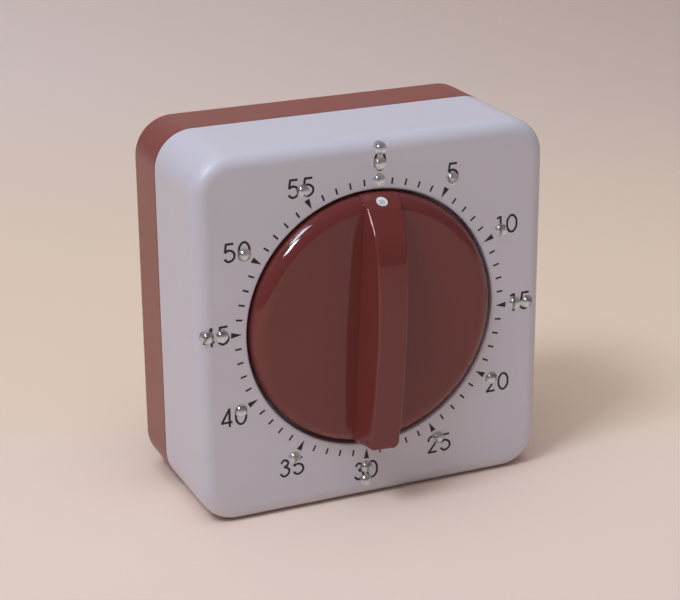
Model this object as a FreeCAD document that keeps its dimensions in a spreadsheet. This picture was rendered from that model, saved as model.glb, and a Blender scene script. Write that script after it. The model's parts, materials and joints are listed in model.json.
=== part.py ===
import FreeCAD, Part
import math
import os
import re
import Sketcher

# Mechanical sixty minute timer with a turning knob and raised dots for touch.
# Millimetres, +Z up, the dial looks along -Y, the origin is at the middle of the flat base.
# Depths are counted from the front face of the cover towards the back.

doc = FreeCAD.newDocument("tactile_timer")
V = FreeCAD.Vector

# Driving dimensions

case = {
    "case_width": 70.4,
    "case_height": 71.0,
    "case_depth": 32.6,
    "corner_radius": 7.4,
    "front_round": 2.8,
    "rear_round": 1.0,
    "cover_depth": 20.4,
    "seam_gap": 0.3,
    "wall": 2.0,
    "rear_wall": 2.0,
    "lip_wall": 0.9,
    "lip_depth": 1.8,
    "lip_clearance": 0.1,
    "boss_radius": 3.0,
    "column_radius": 3.6,
    "screw_inset": 7.2,
    "screw_z": 8.0,
    "case_screw_radius": 1.4,
    "case_screw_length": 14.0,
    "case_screw_head_radius": 2.7,
    "case_screw_head": 1.8,
    "case_screw_sink": 5.0,
    "screw_clearance": 0.1,
    "drive_slot": 0.7,
    "drive_depth": 0.9,
    "slot_count": 5,
    "slot_width": 1.6,
    "slot_length": 15.0,
    "slot_pitch": 4.4,
    "slot_height": 18.0,
    "wedge_top": 58.0,
    "wedge_bottom": 41.0,
    "wedge_depth": 3.6,
    "wedge_inset": 1.4,
    "wedge_wall": 1.8,
}
dial = {
    "dial_x": -0.65,
    "dial_rise": 0.8,
    "dial_turn": 2.7,
    "well_radius": 25.0,
    "well_rim_round": 0.4,
    "well_depth": 3.6,
    "well_floor": 1.6,
    "dot_radius": 1.25,
    "dot_height": 1.1,
    "dot_stem": 0.8,
    "dot_edge": 0.5,
    "dot_step": 3.15,
    "dot_step_outer": 2.75,
}
knob = {
    "knob_gap": 0.55,
    "knob_face": 2.0,
    "knob_round": 3.2,
    "knob_back": 2.8,
    "knob_wall": 1.8,
    "grip_base": 1.0,
    "grip_half_width": 3.9,
    "grip_inset": 0.25,
    "grip_height": 9.25,
    "grip_draft": 5.7,
    "grip_crown_radius": 110.0,
    "grip_crown_low": 4.0,
    "grip_edge_round": 0.5,
    "grip_corner_round": 1.2,
    "grip_hollow": 5.8,
    "grip_ramp_wall": 8.2,
    "grip_end_wall": 2.2,
    "ramp_slope": 36.0,
    "ramp_round": 14.0,
    "nose_run": 2.25,
    "nose_top_height": 3.1,
    "nose_height": -0.3,
    "hub_radius": 4.2,
    "hub_depth": 6.4,
    "hub_gap": 0.5,
    "pointer_radius": 1.08,
    "pointer_margin": 0.55,
    "pointer_length": 0.9,
    "pointer_proud": 0.1,
}
movement = {
    "front_plate_depth": 7.0,
    "rear_plate_depth": 18.0,
    "plate_thickness": 1.0,
    "plate_gap": 0.4,
    "plate_up": 27.9,
    "plate_down": 28.7,
    "plate_corner": 3.0,
    "pillar_radius": 2.0,
    "rivet_radius": 1.1,
    "push_fit": 0.01,
    "run_fit": 0.05,
    "end_play": 0.2,
    "pillar_left_inset": 9.6,
    "pillar_left_up": 22.7,
    "pillar_right_inset": 4.1,
    "pillar_right_down": 15.3,
    "pillar_low_inset": 2.8,
    "pillar_low_down": 26.1,
    "plate_screw_inset": 2.8,
    "plate_screw_up": 21.9,
    "plate_screw_down": 23.1,
    "plate_screw_radius": 1.0,
    "plate_screw_length": 4.4,
    "plate_screw_head_radius": 2.1,
    "plate_screw_head": 1.3,
    "plate_boss_radius": 2.5,
}
train = {
    "arbor_radius": 2.0,
    "arbor_flat": 1.4,
    "arbor_front": 3.6,
    "spring_core_radius": 2.6,
    "wheel_seat_radius": 1.8,
    "arbor_pivot_radius": 1.3,
    "arbor_rear": 20.8,
    "great_module": 0.5,
    "great_teeth": 60,
    "second_pinion_teeth": 10,
    "train_module": 0.4,
    "second_teeth": 48,
    "third_teeth": 40,
    "pinion_teeth": 8,
    "wheel_thickness": 0.9,
    "mesh_play": 0.06,
    "great_wheel_depth": 14.3,
    "second_wheel_depth": 16.3,
    "third_wheel_depth": 11.0,
    "pinion_margin": 0.4,
    "washer_radius": 3.4,
    "washer_thickness": 0.5,
    "window_radius": 3.4,
    "window_reach": 9.0,
    "window_bearing": 65.0,
    "second_arbor_radius": 1.0,
    "thin_arbor_radius": 0.8,
    "pivot_radius": 0.5,
    "second_bearing": 220.0,
    "third_bearing": 281.0,
    "escape_bearing": 357.0,
    "escape_teeth": 15,
    "escape_radius": 5.5,
    "escape_tooth_depth": 1.5,
    "escape_wheel_depth": 14.4,
    "pallet_angle": 30.0,
    "pallet_pin_radius": 0.3,
    "pallet_clearance": 0.08,
    "pallet_thickness": 0.8,
    "pallet_arm": 1.1,
    "bar_length": 13.0,
    "bar_width": 2.6,
    "bar_corner": 1.2,
    "bar_thickness": 1.2,
    "bar_depth": 9.4,
}
strike = {
    "mainspring_depth": 8.6,
    "mainspring_width": 4.0,
    "mainspring_gauge": 0.35,
    "mainspring_turns": 4,
    "mainspring_pitch": 2.2,
    "mainspring_rise": 12.0,
    "ratchet_teeth": 20,
    "ratchet_radius": 6.5,
    "ratchet_tooth": 0.9,
    "ratchet_depth": 13.1,
    "ratchet_thickness": 0.9,
    "click_bearing": 60.0,
    "click_gap": 0.16,
    "click_pivot_x": -3.8,
    "click_pivot_z": 10.3,
    "click_boss_radius": 1.6,
    "click_boss_bearing": 51.0,
    "click_pin_radius": 0.9,
    "click_nose": 1.6,
    "click_spring_x": -1.6,
    "click_spring_z": 13.0,
    "click_spring_length": 7.6,
    "click_spring_bearing": -42.9,
    "click_spring_foot": 0.9,
    "click_spring_rivet": 0.5,
    "cam_radius": 7.0,
    "cam_depth": 19.4,
    "cam_thickness": 1.0,
    "cam_notch_depth": 1.2,
    "cam_notch_ahead": 0.9,
    "cam_notch_behind": 1.7,
    "cam_ramp": 2.8,
    "hammer_inset": 2.6,
    "hammer_up": 24.0,
    "hammer_head_x": 6.9,
    "hammer_arm_width": 2.4,
    "hammer_arm_thickness": 1.0,
    "hammer_boss_radius": 2.4,
    "hammer_stud_radius": 1.2,
    "hammer_stud_head": 2.2,
    "hammer_head_radius": 2.4,
    "hammer_head_length": 4.2,
    "hammer_stem_radius": 1.0,
    "follower_radius": 0.6,
    "follower_width": 1.2,
    "leaf_gauge": 0.3,
    "leaf_foot_along": 3.5,
    "leaf_foot_rise": 2.1,
    "leaf_foot_width": 2.5,
    "leaf_foot_height": 1.4,
    "leaf_end_along": 20.0,
    "leaf_gap": 0.1,
    "bell_radius": 21.0,
    "bell_seat": 1.0,
    "bell_gauge": 0.8,
    "bell_round": 6.0,
    "bell_mouth_depth": 21.6,
    "bell_screw_radius": 1.4,
    "bell_screw_head_radius": 3.0,
    "bell_screw_head": 1.4,
    "bell_screw_length": 2.0,
    "bell_seat_radius": 4.0,
}

# Places and sizes that follow from the driving dimensions

derived = {
    "screw_x": "case_width / 2 - screw_inset",
    "dial_z": "case_height / 2 + dial_rise",
    "dot_ring_inner": "well_radius + dot_edge + dot_radius",
    "dot_ring": "dot_ring_inner + dot_step",
    "dot_ring_outer": "dot_ring + dot_step_outer",
    "knob_radius": "well_radius - knob_gap",
    "grip_reach": "knob_radius - grip_inset",
    "nose_top_reach": "knob_radius - nose_run",
    "grip_hollow_top": "nose_top_reach - grip_ramp_wall",
    "grip_hollow_end": "grip_reach - grip_end_wall",
    "plate_half": "screw_x - boss_radius - plate_gap",
    "plate_top": "dial_z + plate_up",
    "plate_bottom": "dial_z - plate_down",
    "hammer_x": "hammer_inset - plate_half",
    "hammer_z": "dial_z + hammer_up",
    "hammer_reach": "dial_x + hammer_head_x - hammer_x",
    "leaf_foot_x": "hammer_x + leaf_foot_along",
    "leaf_foot_z": "hammer_z + leaf_foot_rise",
    "leaf_end_x": "hammer_x + leaf_end_along",
}
groups = {"Case": case, "Dial": dial, "Knob": knob, "Movement": movement, "Train": train, "Strike": strike}

sheet = doc.addObject("Spreadsheet::Sheet", "Sizes")
row = 0
for title, sizes in groups.items():
    row += 1
    sheet.set("A%d" % row, title)
    for name, value in sizes.items():
        row += 1
        sheet.set("A%d" % row, name)
        sheet.set("B%d" % row, str(value))
        sheet.setAlias("B%d" % row, name)
doc.recompute()

# Helpers that tie an object to the sheet

ALIASES = {name for sizes in groups.values() for name in sizes}
probe = doc.addObject("App::FeaturePython", "Probe")
probe.addProperty("App::PropertyFloat", "Value")


def in_sheet(expression):
    def spelled_out(word):
        if word[0] in derived:
            return "(%s)" % in_sheet(derived[word[0]])
        return "Sizes." + word[0] if word[0] in ALIASES else word[0]
    return re.sub(r"[a-z]\w*", spelled_out, expression)


def size(expression):
    probe.setExpression("Value", in_sheet(expression))
    probe.recompute()
    return probe.Value


def bind(item, prop, expression):
    item.setExpression(prop, in_sheet(expression))


def place(item, x="0", depth="0", z="0"):
    bind(item, "Placement.Base.x", x)
    bind(item, "Placement.Base.y", "(%s) - case_depth / 2" % depth)
    bind(item, "Placement.Base.z", z)


parts = []
TOUCH = 0.01


def add_body(label, x="0", depth="0", z="0", several=False):
    body = doc.addObject("PartDesign::Body", label)
    body.AllowCompound = several
    place(body, x, depth, z)
    parts.append(body)
    return body


def add_sketch(body, plane="XZ_Plane", along="0"):
    sketch = body.newObject("Sketcher::SketchObject", body.Name + "_sketch")
    support = [f for f in body.Origin.OriginFeatures if f.Role == plane][0]
    sketch.AttachmentSupport = (support, [""])
    sketch.MapMode = "FlatFace"
    if along != "0":
        bind(sketch, "AttachmentOffset.Base.z", along)
    return sketch


def pin_point(sketch, geometry, end, x, y):
    for kind, text, axis in (("DistanceX", x, -2), ("DistanceY", y, -1)):
        value = size(text)
        if text == "0":
            sketch.addConstraint(Sketcher.Constraint("PointOnObject", geometry, end, axis))
            continue
        index = sketch.addConstraint(Sketcher.Constraint(kind, -1, 1, geometry, end, value))
        sketch.setExpression("Constraints[%d]" % index, in_sheet(text))


def draw_circle(sketch, radius, x="0", y="0"):
    circle = Part.Circle(V(size(x), size(y), 0), V(0, 0, 1), size(radius))
    index = sketch.addGeometry(circle, False)
    limit = sketch.addConstraint(Sketcher.Constraint("Radius", index, size(radius)))
    sketch.setExpression("Constraints[%d]" % limit, in_sheet(radius))
    pin_point(sketch, index, 3, x, y)


def draw_outline(sketch, points):
    """Closed chain of straight lines; each corner is bound to its two expressions."""
    corners = [V(size(x), size(y), 0) for x, y in points]
    lines = []
    for start, end in zip(corners, corners[1:] + corners[:1]):
        lines.append(sketch.addGeometry(Part.LineSegment(start, end), False))
    for line, following in zip(lines, lines[1:] + lines[:1]):
        sketch.addConstraint(Sketcher.Constraint("Coincident", line, 2, following, 1))
    for line, (x, y) in zip(lines, points):
        pin_point(sketch, line, 1, x, y)


def draw_rectangle(sketch, width, height, x="0", y="0"):
    left, right = "(%s) - (%s) / 2" % (x, width), "(%s) + (%s) / 2" % (x, width)
    low, high = "(%s) - (%s) / 2" % (y, height), "(%s) + (%s) / 2" % (y, height)
    draw_outline(sketch, [(left, low), (right, low), (right, high), (left, high)])


def draw_cut_circle(sketch, radius, flat):
    """Circle about the axis with its right side cut off by an upright line."""
    reach, side = size(radius), size(flat)
    half = math.acos(side / reach)
    rise = math.sqrt(reach ** 2 - side ** 2)
    arc = sketch.addGeometry(Part.ArcOfCircle(Part.Circle(V(), V(0, 0, 1), reach), half, -half), False)
    line = sketch.addGeometry(Part.LineSegment(V(side, -rise, 0), V(side, rise, 0)), False)
    for pair in ((arc, 2, line, 1), (line, 2, arc, 1), (arc, 3, -1, 1)):
        sketch.addConstraint(Sketcher.Constraint("Coincident", *pair))
    sketch.addConstraint(Sketcher.Constraint("Vertical", line))
    limit = sketch.addConstraint(Sketcher.Constraint("Radius", arc, reach))
    sketch.setExpression("Constraints[%d]" % limit, in_sheet(radius))
    shift = sketch.addConstraint(Sketcher.Constraint("DistanceX", -1, 1, line, 1, side))
    sketch.setExpression("Constraints[%d]" % shift, in_sheet(flat))


def draw_rounded(sketch, width, height, radius, x="0", y="0"):
    """Rectangle with round corners: four bound lines joined by four arcs."""
    far_x, far_y = "(%s) / 2" % width, "(%s) / 2" % height
    near_x, near_y = "(%s - (%s))" % (far_x, radius), "(%s - (%s))" % (far_y, radius)
    sides = [
        ("-" + near_x, "-" + far_y, near_x, "-" + far_y),
        (far_x, "-" + near_y, far_x, near_y),
        (near_x, far_y, "-" + near_x, far_y),
        ("-" + far_x, near_y, "-" + far_x, "-" + near_y),
    ]
    lines = []
    for side in sides:
        x1, y1, x2, y2 = ["(%s) + (%s)" % pair for pair in zip((x, y, x, y), side)]
        line = Part.LineSegment(V(size(x1), size(y1), 0), V(size(x2), size(y2), 0))
        lines.append(sketch.addGeometry(line, False))
        pin_point(sketch, lines[-1], 1, x1, y1)
        pin_point(sketch, lines[-1], 2, x2, y2)
    for n, line in enumerate(lines):
        following = lines[(n + 1) % 4]
        start, end = sketch.getPoint(line, 2), sketch.getPoint(following, 1)
        heading = V(1, 0, 0) if n % 2 == 0 else V(0, 1, 0)
        centre = end - heading * (end - start).dot(heading)
        round_corner = Part.Circle(centre, V(0, 0, 1), size(radius))
        arc = Part.ArcOfCircle(round_corner, math.radians(90 * n - 90), math.radians(90 * n))
        index = sketch.addGeometry(arc, False)
        sketch.addConstraint(Sketcher.Constraint("Coincident", line, 2, index, 1))
        sketch.addConstraint(Sketcher.Constraint("Coincident", index, 2, following, 1))
        limit = sketch.addConstraint(Sketcher.Constraint("Radius", index, size(radius)))
        sketch.setExpression("Constraints[%d]" % limit, in_sheet(radius))


def add_pad(body, sketch, length, backwards=True, draft=None):
    pad = body.newObject("PartDesign::Pad", body.Name + "_pad")
    pad.Profile = sketch
    pad.Reversed = backwards
    bind(pad, "Length", length)
    if draft:
        bind(pad, "TaperAngle", draft)
    doc.recompute()
    return pad


def add_pocket(body, sketch, length, backwards=True):
    before = body.Shape.Volume
    pocket = body.newObject("PartDesign::Pocket", body.Name + "_pocket")
    pocket.Profile = sketch
    pocket.Reversed = not backwards
    bind(pocket, "Length", length)
    doc.recompute()
    if body.Shape.Volume >= before:
        raise ValueError("pocket cuts nothing in " + body.Label)
    return pocket


def add_turned(body, points, cut=False):
    """Profile of (radius, depth) corners turned about the depth axis of the body."""
    sketch = add_sketch(body, "XY_Plane")
    draw_outline(sketch, points)
    kind = "PartDesign::Groove" if cut else "PartDesign::Revolution"
    turned = body.newObject(kind, body.Name + "_turned")
    turned.Profile = sketch
    turned.ReferenceAxis = (sketch, ["V_Axis"])
    turned.Angle = 360
    doc.recompute()
    return turned


def add_fillet(body, feature, radius, chosen):
    """Rounds those edges of the feature for which chosen(edge) is true."""
    names = ["Edge%d" % (n + 1) for n, edge in enumerate(feature.Shape.Edges) if chosen(edge)]
    fillet = body.newObject("PartDesign::Fillet", body.Name + "_fillet")
    fillet.Base = (feature, names)
    bind(fillet, "Radius", radius)
    doc.recompute()
    return fillet


def lies_at(depth):
    """Test for an edge that lies flat at one depth of its own body."""
    level = size(depth)

    def chosen(edge):
        box = edge.BoundBox
        local = (box.YMin, box.YMax)
        return all(abs(y - level) < TOUCH for y in local)
    return chosen


def discs_at(body, radius, thickness, places, depth):
    sketch = add_sketch(body, along="-(%s)" % depth)
    for x, z in places:
        draw_circle(sketch, radius, x, z)
    return add_pad(body, sketch, thickness)


def hole_at(body, radius, length, places, depth="0"):
    sketch = add_sketch(body, along="-(%s)" % depth)
    for x, z in places:
        draw_circle(sketch, radius, x, z)
    return add_pocket(body, sketch, length)


# Places that several pieces share

SCREW_PLACES = [
    ("-screw_x", "screw_z"),
    ("screw_x", "screw_z"),
    ("screw_x", "case_height - screw_z"),
    ("-screw_x", "case_height - screw_z"),
]
PLATE_SCREWS = [
    ("plate_screw_inset - plate_half", "dial_z + plate_screw_up"),
    ("plate_half - plate_screw_inset", "dial_z + plate_screw_up"),
    ("plate_half - plate_screw_inset", "dial_z - plate_screw_down"),
]
CENTRE = [("dial_x", "dial_z")]
AXIS = [("0", "0")]
SEAM = "(cover_depth + seam_gap)"
MIDDLE = "case_height / 2"

# Front cover: white moulded box, open at the back, with the shallow well that the knob turns in

cover = add_body("front_cover")
sketch = add_sketch(cover)
draw_rounded(sketch, "case_width", "case_height", "corner_radius", "0", MIDDLE)
shell = add_pad(cover, sketch, "cover_depth")
add_fillet(cover, shell, "front_round", lies_at("0"))
sketch = add_sketch(cover, along="-wall")
draw_rounded(sketch, "case_width - 2 * wall", "case_height - 2 * wall", "corner_radius - wall", "0", MIDDLE)
add_pocket(cover, sketch, "cover_depth")
discs_at(cover, "well_radius + well_floor", "well_depth + well_floor - wall / 2", CENTRE, "wall / 2")
well = hole_at(cover, "well_radius", "well_depth", CENTRE)


def on_well_rim(edge):
    curve = edge.Curve
    on_face = lies_at("0")(edge)
    return on_face and hasattr(curve, "Radius") and abs(curve.Radius - size("well_radius")) < TOUCH


add_fillet(cover, well, "well_rim_round", on_well_rim)
hole_at(cover, "hub_radius + hub_gap", "well_depth + well_floor", CENTRE)
discs_at(cover, "boss_radius", SEAM + " - wall / 2", SCREW_PLACES, "wall / 2")
discs_at(cover, "plate_boss_radius", "front_plate_depth - wall / 2", PLATE_SCREWS, "wall / 2")
case_tip = "(case_depth - case_screw_sink - case_screw_length - screw_clearance)"
hole_at(cover, "case_screw_radius + push_fit", SEAM + " - " + case_tip, SCREW_PLACES, case_tip)
plate_tip = "(front_plate_depth + plate_thickness - plate_screw_length - screw_clearance)"
hole_at(cover, "plate_screw_radius + push_fit", "front_plate_depth - " + plate_tip, PLATE_SCREWS, plate_tip)

# Raised dots: one at each five minutes, three in a row at the hour and two at each quarter

DOTS = [
    ("inner", "dot_ring_inner", [0]),
    ("mid", "dot_ring", range(0, 60, 5)),
    ("outer", "dot_ring_outer", [0, 15, 30, 45]),
]
dot_places = {}
for ring, reach, minutes in DOTS:
    for minute in minutes:
        turned = "(6 * %d + dial_turn)" % minute
        x = "dial_x + %s * sin(%s)" % (reach, turned)
        z = "dial_z + %s * cos(%s)" % (reach, turned)
        dot_places["tactile_dot_%02d_%s" % (minute, ring)] = (x, z)
hole_at(cover, "dot_radius + push_fit", "dot_stem", list(dot_places.values()))
for label, (x, z) in dot_places.items():
    dot = add_body(label, x, "0", z)
    stem = dot.newObject("PartDesign::AdditiveCylinder", label + "_stem")
    stem.Placement.Rotation = FreeCAD.Rotation(V(1, 0, 0), -90)
    bind(stem, "Radius", "dot_radius")
    bind(stem, "Height", "dot_stem")
    dome = dot.newObject("PartDesign::AdditiveEllipsoid", label + "_dome")
    dome.Placement.Rotation = FreeCAD.Rotation(V(1, 0, 0), 90)
    dome.Angle1 = 0
    bind(dome, "Radius1", "dot_height")
    bind(dome, "Radius2", "dot_radius")
    bind(dome, "Radius3", "dot_radius")

# Rear housing: red moulded tray with a lip inside the cover, screw columns, sound slots and a wedge

lip_edge = "(wall + lip_clearance)"
inner = "(wall + lip_clearance + lip_wall)"
housing = add_body("rear_housing")
sketch = add_sketch(housing, along="-" + SEAM)
draw_rounded(sketch, "case_width", "case_height", "corner_radius", "0", MIDDLE)
tray = add_pad(housing, sketch, "case_depth - " + SEAM)
add_fillet(housing, tray, "rear_round", lies_at("case_depth"))
sketch = add_sketch(housing, along="-(%s - lip_depth)" % SEAM)
draw_rounded(sketch, "case_width - 2 * " + lip_edge, "case_height - 2 * " + lip_edge,
             "corner_radius - " + lip_edge, "0", MIDDLE)
add_pad(housing, sketch, "lip_depth + rear_wall / 2")
sketch = add_sketch(housing, along="-(%s - lip_depth)" % SEAM)
draw_rounded(sketch, "case_width - 2 * " + inner, "case_height - 2 * " + inner,
             "corner_radius - " + inner, "0", MIDDLE)
add_pocket(housing, sketch, "lip_depth + case_depth - rear_wall - " + SEAM)
discs_at(housing, "column_radius", "case_depth - rear_wall / 2 - " + SEAM, SCREW_PLACES, SEAM)
hole_at(housing, "case_screw_radius + screw_clearance", "case_depth - " + SEAM, SCREW_PLACES, SEAM)
hole_at(housing, "case_screw_head_radius + screw_clearance", "case_screw_sink", SCREW_PLACES,
        "case_depth - case_screw_sink")
bell_back = "(case_depth - rear_wall - bell_seat)"
discs_at(housing, "bell_seat_radius", "bell_seat + rear_wall / 2", CENTRE, bell_back)
hole_at(housing, "bell_screw_radius + push_fit", "bell_screw_length + screw_clearance", CENTRE, bell_back)
sketch = add_sketch(housing, "YZ_Plane", "-(case_width / 2 - wedge_inset)")
draw_outline(sketch, [
    ("case_depth - rear_wall / 2", "wedge_bottom"),
    ("case_depth", "wedge_bottom"),
    ("case_depth + wedge_depth", "wedge_top - rear_round"),
    ("case_depth", "wedge_top"),
    ("case_depth - rear_wall / 2", "wedge_top"),
])
add_pad(housing, sketch, "case_width - 2 * wedge_inset", backwards=False)
hollow_width = "(case_width - 2 * %s - 2 * wedge_wall)" % inner
sketch = add_sketch(housing, "YZ_Plane", "%s / 2" % hollow_width)
draw_outline(sketch, [
    ("case_depth - rear_wall", "wedge_bottom + 3 * wedge_wall"),
    ("case_depth + wedge_depth - wedge_wall", "wedge_top - 2 * wedge_wall"),
    ("case_depth - rear_wall", "wedge_top - 2 * wedge_wall"),
])
add_pocket(housing, sketch, hollow_width)
sketch = add_sketch(housing, along="-(case_depth - rear_wall)")
for n in range(round(size("slot_count"))):
    draw_rectangle(sketch, "slot_width", "slot_length", "(%d - (slot_count - 1) / 2) * slot_pitch" % n,
                   "slot_height")
add_pocket(housing, sketch, "rear_wall")

# Screws: pan heads with a cross recess hold the case, slotted ones hold the movement


def add_screws(label, places, seat, length, radius, head_radius, head, slots):
    """Screws that point forwards from their seat, with slots cut across the heads."""
    screws = add_body(label, several=True)
    discs_at(screws, head_radius, head, places, seat)
    discs_at(screws, radius, length, places, "%s - %s" % (seat, length))
    for wide, high in slots:
        sketch = add_sketch(screws, along="-(%s + %s - drive_depth)" % (seat, head))
        for x, z in places:
            draw_rectangle(sketch, wide, high, x, z)
        add_pocket(screws, sketch, "drive_depth")


cross = [("2 * case_screw_radius", "drive_slot"), ("drive_slot", "2 * case_screw_radius")]
add_screws("case_screws", SCREW_PLACES, "(case_depth - case_screw_sink)", "case_screw_length",
           "case_screw_radius", "case_screw_head_radius", "case_screw_head", cross)
add_screws("movement_screws", PLATE_SCREWS, "(front_plate_depth + plate_thickness)", "plate_screw_length",
           "plate_screw_radius", "plate_screw_head_radius", "plate_screw_head",
           [("2 * plate_screw_head_radius", "drive_slot")])

# Knob: moulded red disc with a round rim, a drafted grip bar, a ramp and a nose for the pointer


def turn_with_dial(item):
    item.Placement.Rotation = FreeCAD.Rotation(V(0, 1, 0), size("dial_turn"))
    bind(item, "Placement.Rotation.Angle", "dial_turn")


ceiling = "(knob_face - knob_wall)"
knob_body = add_body("dial_knob", "dial_x", "0", "dial_z")
turn_with_dial(knob_body)
disc = add_turned(knob_body, [
    ("0", "-knob_face"), ("knob_radius", "-knob_face"), ("knob_radius", "knob_back"), ("0", "knob_back"),
])
add_fillet(knob_body, disc, "knob_round", lies_at("-knob_face"))
sketch = add_sketch(knob_body, along="-grip_base")
draw_outline(sketch, [
    ("-grip_half_width", "-grip_reach"),
    ("grip_half_width", "-grip_reach"),
    ("grip_half_width", "knob_radius + grip_base"),
    ("-grip_half_width", "knob_radius + grip_base"),
])
bar = add_pad(knob_body, sketch, "grip_height + grip_base", backwards=False, draft="-grip_draft")


def on_low_corner(edge):
    """Upright corner edges at the low end of the bar."""
    box = edge.BoundBox
    low_end = size("grip_corner_round - grip_reach")
    return box.YLength > size("grip_height - knob_face") and box.ZMax < low_end


add_fillet(knob_body, bar, "grip_corner_round", on_low_corner)
add_turned(knob_body, [
    ("knob_radius", "-grip_height"), ("knob_radius + grip_half_width", "-grip_height"),
    ("knob_radius + grip_half_width", "knob_back"), ("knob_radius", "knob_back"),
], cut=True)
sketch = add_sketch(knob_body, "YZ_Plane", "knob_radius")
crown_middle = "(grip_crown_radius - grip_height)"
draw_circle(sketch, "grip_crown_radius", crown_middle, "-grip_crown_low")
draw_rectangle(sketch, "3 * grip_crown_radius", "3 * grip_crown_radius", crown_middle, "-grip_crown_low")
add_pocket(knob_body, sketch, "2 * knob_radius")
sketch = add_sketch(knob_body, "YZ_Plane", "grip_half_width")
above = "(nose_top_reach - (2 * grip_height - nose_top_height) / tan(ramp_slope))"
draw_outline(sketch, [
    ("-nose_height", "knob_radius"),
    ("-nose_top_height", "nose_top_reach"),
    ("-2 * grip_height", above),
    ("-2 * grip_height", "knob_radius + grip_base"),
    ("-nose_height", "knob_radius + grip_base"),
])
grip = add_pocket(knob_body, sketch, "2 * grip_half_width")


def on_ramp_top(edge):
    """Edge across the bar where the ramp meets the crown."""
    box = edge.BoundBox
    above_nose = box.ZMin > 0 and box.YMax < -size("nose_top_height") - TOUCH
    return above_nose and box.XLength > box.ZLength


def on_grip_edge(edge):
    return edge.BoundBox.YMax < -size("knob_face") - 0.2 and not on_ramp_top(edge)


grip = add_fillet(knob_body, grip, "ramp_round", on_ramp_top)


add_fillet(knob_body, grip, "grip_edge_round", on_grip_edge)
add_turned(knob_body, [
    ("hub_radius", "-" + ceiling), ("knob_radius - knob_wall", "-" + ceiling),
    ("knob_radius - knob_wall", "knob_back"), ("hub_radius", "knob_back"),
], cut=True)
near = "(hub_radius + knob_wall)"
for start, end in [(near, "grip_hollow_top"), ("-grip_hollow_end", "-" + near)]:
    sketch = add_sketch(knob_body, along=ceiling)
    draw_rectangle(sketch, "2 * (grip_half_width - knob_wall)", "(%s) - (%s)" % (end, start), "0",
                   "((%s) + (%s)) / 2" % (end, start))
    add_pocket(knob_body, sketch, "grip_hollow", backwards=False)
discs_at(knob_body, "hub_radius", "hub_depth + " + ceiling, AXIS, "-" + ceiling)
sketch = add_sketch(knob_body, along="arbor_front")
draw_cut_circle(sketch, "arbor_radius + push_fit", "arbor_flat + push_fit")
add_pocket(knob_body, sketch, "arbor_front + hub_depth")

# Pointer: white pin set in the sloping nose of the knob

nose_drop = "(nose_top_height - nose_height)"
nose_slope = "atan(nose_run / %s)" % nose_drop
pointer_inset = "(pointer_radius + pointer_margin)"
pointer_reach = "(nose_top_reach + %s * sin(%s))" % (pointer_inset, nose_slope)
pointer_height = "(nose_top_height - %s * cos(%s))" % (pointer_inset, nose_slope)


def set_in_nose(pin, radius, sunk, length):
    """Pin whose axis stands square on the nose, sunk below its surface."""
    pin.Placement.Rotation = FreeCAD.Rotation(V(1, 0, 0), size(nose_slope))
    bind(pin, "Placement.Rotation.Angle", nose_slope)
    bind(pin, "Placement.Base.y", "%s * sin(%s) - %s" % (sunk, nose_slope, pointer_height))
    bind(pin, "Placement.Base.z", "%s - %s * cos(%s)" % (pointer_reach, sunk, nose_slope))
    bind(pin, "Radius", radius)
    bind(pin, "Height", length)
    doc.recompute()


recess = knob_body.newObject("PartDesign::SubtractiveCylinder", "pointer_recess")
set_in_nose(recess, "pointer_radius + push_fit", "pointer_length", "2 * pointer_length")
pointer = add_body("pointer_dot", "dial_x", "0", "dial_z")
turn_with_dial(pointer)
pin = pointer.newObject("PartDesign::AdditiveCylinder", "pointer_pin")
set_in_nose(pin, "pointer_radius", "pointer_length", "pointer_length + pointer_proud")

# Movement plates: two steel plates joined by four riveted pillars, holes for every pivot

BACK = "(front_plate_depth + plate_thickness)"
REAR_FACE = "(rear_plate_depth + plate_thickness)"
second_gap = "(great_module * (great_teeth + second_pinion_teeth) / 2 + mesh_play)"
third_gap = "(train_module * (second_teeth + pinion_teeth) / 2 + mesh_play)"
escape_gap = "(train_module * (third_teeth + pinion_teeth) / 2 + mesh_play)"
pin_reach = "(escape_radius + pallet_pin_radius + pallet_clearance)"


def beyond(place, distance, bearing):
    """Place at a distance and bearing from another, the bearing counted from +X towards +Z."""
    x = "(%s + %s * cos(%s))" % (place[0], distance, bearing)
    z = "(%s + %s * sin(%s))" % (place[1], distance, bearing)
    return (x, z)


MAIN = ("dial_x", "dial_z")
SECOND = beyond(MAIN, second_gap, "second_bearing")
THIRD = beyond(SECOND, third_gap, "third_bearing")
ESCAPE = beyond(THIRD, escape_gap, "escape_bearing")
PALLET = ("(%s + %s / cos(pallet_angle))" % (ESCAPE[0], pin_reach), ESCAPE[1])
spring_end = "(spring_core_radius + run_fit + mainspring_gauge / 2 + mainspring_turns * mainspring_pitch)"
spring_post_x = "(dial_x + %s + mainspring_gauge / 2 + pillar_radius + push_fit)" % spring_end
PILLARS = {
    "pillar_left": ("(pillar_left_inset - plate_half)", "(dial_z + pillar_left_up)"),
    "pillar_spring": (spring_post_x, "(dial_z + mainspring_rise)"),
    "pillar_right": ("(plate_half - pillar_right_inset)", "(dial_z - pillar_right_down)"),
    "pillar_low": ("(pillar_low_inset - plate_half)", "(dial_z - pillar_low_down)"),
}
HAMMER = ("hammer_x", "hammer_z")


def add_plate(label, depth, holes):
    plate = add_body(label)
    sketch = add_sketch(plate, along="-%s" % depth)
    draw_rounded(sketch, "2 * plate_half", "plate_top - plate_bottom", "plate_corner",
                 "0", "(plate_top + plate_bottom) / 2")
    add_pad(plate, sketch, "plate_thickness")
    sketch = add_sketch(plate, along="-%s" % depth)
    for radius, places in holes:
        for x, z in places:
            draw_circle(sketch, radius, x, z)
    add_pocket(plate, sketch, "plate_thickness")


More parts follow.
